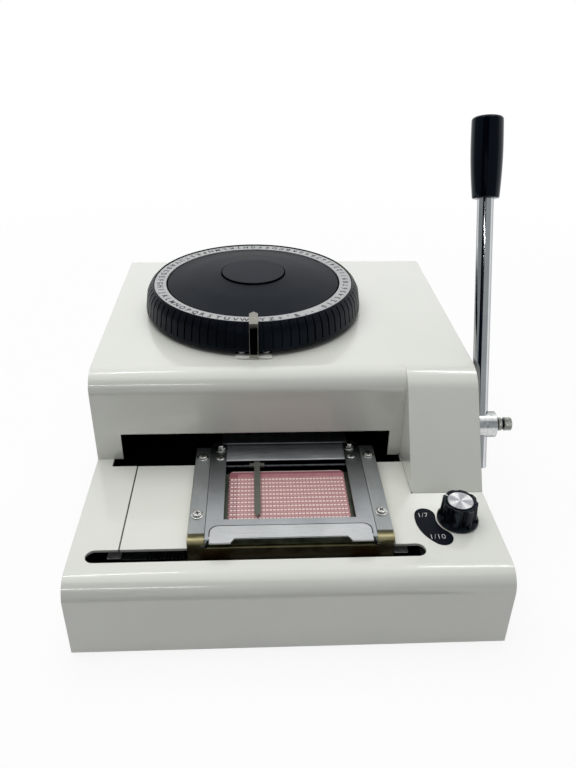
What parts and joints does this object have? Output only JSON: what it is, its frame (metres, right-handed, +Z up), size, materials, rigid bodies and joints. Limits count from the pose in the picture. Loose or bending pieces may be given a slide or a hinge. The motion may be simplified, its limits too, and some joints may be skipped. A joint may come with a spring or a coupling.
{
  "type": "plastic card embosser",
  "caption": "Manual plastic card embosser: rotary type dial on a sheet-metal housing, side press lever, and a card clamp frame on a sliding carriage.",
  "frame": {"origin": "centre of the whole object's bounding box, on the plane the rubber feet stand on", "axes": "+X to the operator's right, where the lever is; +Y from the front edge towards the back; +Z up"},
  "size_m": [0.3222, 0.364, 0.3069],
  "materials": {
    "white_paint": "gloss enamel over folded sheet",
    "floor_steel": "dull grey",
    "foot_rubber": "matt",
    "chassis_steel": "zinc plated",
    "bright_rod": "ground and polished",
    "bush_bronze": "sintered bronze",
    "wheel_steel": "blackened",
    "type_steel": "hardened, bright",
    "dial_black": "satin",
    "ring_grey": "satin anodised",
    "nickel": "satin nickel",
    "grip_black": "gloss",
    "knob_black": "gloss",
    "spun_aluminium": "spun",
    "label_black": "printed",
    "gold_zinc": "yellow passivated zinc",
    "strip_steel": "brushed along its length",
    "screw_chrome": "bright",
    "frame_steel": "brushed",
    "bar_dark": "dark",
    "card_pink": "printed sheet",
    "lip_aluminium": "satin",
    "pin_white": "moulded"
  },
  "bodies": {
    "body": {"base_cover": "white_paint", "deck_plate": "white_paint", "upper_cover": "white_paint", "bottom_plate": "floor_steel", "rubber_feet": "foot_rubber", "frame_left": "chassis_steel", "frame_right": "chassis_steel", "lever_bracket": "chassis_steel", "top_bridge": "chassis_steel", "lower_bridge": "chassis_steel", "spindle_bushes": "bush_bronze", "upper_guide_bar": "chassis_steel", "lower_guide_bar": "chassis_steel", "front_rail": "bright_rod", "rear_rail": "bright_rod", "rack_brackets": "chassis_steel", "spacing_rack": "type_steel", "selector_label": "label_black", "dial_pointer": "nickel", "pointer_screws": "screw_chrome", "dial_detent": "type_steel", "grid_pointer": "nickel"},
    "dial": {"dial_rim": "dial_black", "dial_disc": "dial_black", "scale_ring": "ring_grey", "dial_cap": "dial_black", "spindle": "bright_rod", "upper_type_wheel": "wheel_steel", "lower_type_wheel": "wheel_steel", "upper_types": "type_steel", "lower_types": "type_steel"},
    "lever": {"main_shaft": "bright_rod", "lever_hub": "bright_rod", "lever_rod": "bright_rod", "lever_grip": "grip_black", "thumb_screw": "screw_chrome"},
    "upper_link": {"upper_link": "chassis_steel"},
    "lower_link": {"lower_link": "chassis_steel"},
    "upper_cam": {"upper_cam_shaft": "bright_rod"},
    "lower_cam": {"lower_cam_shaft": "bright_rod"},
    "upper_plunger": {"upper_plunger": "type_steel"},
    "lower_plunger": {"lower_plunger": "type_steel"},
    "carriage": {"carriage_bracket": "gold_zinc", "side_strips": "strip_steel", "strip_screws": "screw_chrome", "front_sliders": "bush_bronze", "rear_slider": "strip_steel", "pointer_rod": "bright_rod", "carriage_pawl": "type_steel"},
    "card_frame": {"clamp_frame": "frame_steel", "rear_bar": "bar_dark", "card_jaw": "frame_steel", "frame_screws": "screw_chrome", "grid_tray": "gold_zinc", "position_card": "card_pink"},
    "lip": {"clamp_lip": "lip_aluminium", "lip_pins": "pin_white"},
    "knob": {"selector_knob": "knob_black", "knob_cap": "spun_aluminium", "knob_shaft": "bright_rod"}
  },
  "joints": [
    {"name": "dial_spin", "type": "hinge", "parent": "body", "child": "dial", "pos_m": [-0.03865, 0.0705, 0.154], "axis": [0, 0, 1], "continuous": true},
    {"name": "lever_pull", "type": "hinge", "parent": "body", "child": "lever", "pos_m": [-0.01615, -0.049, 0.09], "axis": [1, 0, 0], "range_deg": [0, 65], "stiffness_Nm_per_rad": 0.3, "springref_deg": -34.38},
    {"name": "upper_link_swing", "type": "hinge", "parent": "lever", "child": "upper_link", "pos_m": [0.09285, -0.05932, 0.09946], "axis": [1, 0, 0], "range_deg": [-66, 0.5]},
    {"name": "lower_link_swing", "type": "hinge", "parent": "lever", "child": "lower_link", "pos_m": [0.08685, -0.05932, 0.09946], "axis": [1, 0, 0], "range_deg": [-66, 0.5]},
    {"name": "upper_cam_turn", "type": "hinge", "parent": "body", "child": "upper_cam", "pos_m": [-0.01615, -0.0295, 0.1166], "axis": [1, 0, 0], "range_deg": [-0.5, 66]},
    {"name": "lower_cam_turn", "type": "hinge", "parent": "body", "child": "lower_cam", "pos_m": [-0.01615, -0.0295, 0.02765], "axis": [1, 0, 0], "range_deg": [-0.5, 66]},
    {"name": "upper_plunger_slide", "type": "slide", "parent": "body", "child": "upper_plunger", "axis": [0, 0, -1], "range_m": [-0.00005, 0.00255]},
    {"name": "lower_plunger_slide", "type": "slide", "parent": "body", "child": "lower_plunger", "axis": [0, 0, 1], "range_m": [-0.00005, 0.00255]},
    {"name": "carriage_slide", "type": "slide", "parent": "body", "child": "carriage", "axis": [1, 0, 0], "range_m": [-0.058, 0.016]},
    {"name": "frame_slide", "type": "slide", "parent": "carriage", "child": "card_frame", "axis": [0, -1, 0], "range_m": [0, 0.04233]},
    {"name": "lip_press", "type": "hinge", "parent": "card_frame", "child": "lip", "pos_m": [-0.01515, -0.1495, 0.0713], "axis": [1, 0, 0], "range_deg": [0, 10], "stiffness_Nm_per_rad": 0.005, "springref_deg": -28.65},
    {"name": "knob_turn", "type": "hinge", "parent": "body", "child": "knob", "pos_m": [0.10265, -0.127, 0.064], "axis": [0, 0, 1], "range_deg": [0, 45]}
  ],
  "couplings": [
    {"joint": "upper_link_swing", "follows": "lever_pull", "ratio": -1},
    {"joint": "lower_link_swing", "follows": "lever_pull", "ratio": -1},
    {"joint": "upper_cam_turn", "follows": "lever_pull", "ratio": 1},
    {"joint": "lower_cam_turn", "follows": "lever_pull", "ratio": 1},
    {"joint": "upper_plunger_slide", "follows": "lever_pull", "m_per_rad": 0.0022037},
    {"joint": "lower_plunger_slide", "follows": "lever_pull", "m_per_rad": 0.0022037}
  ]
}
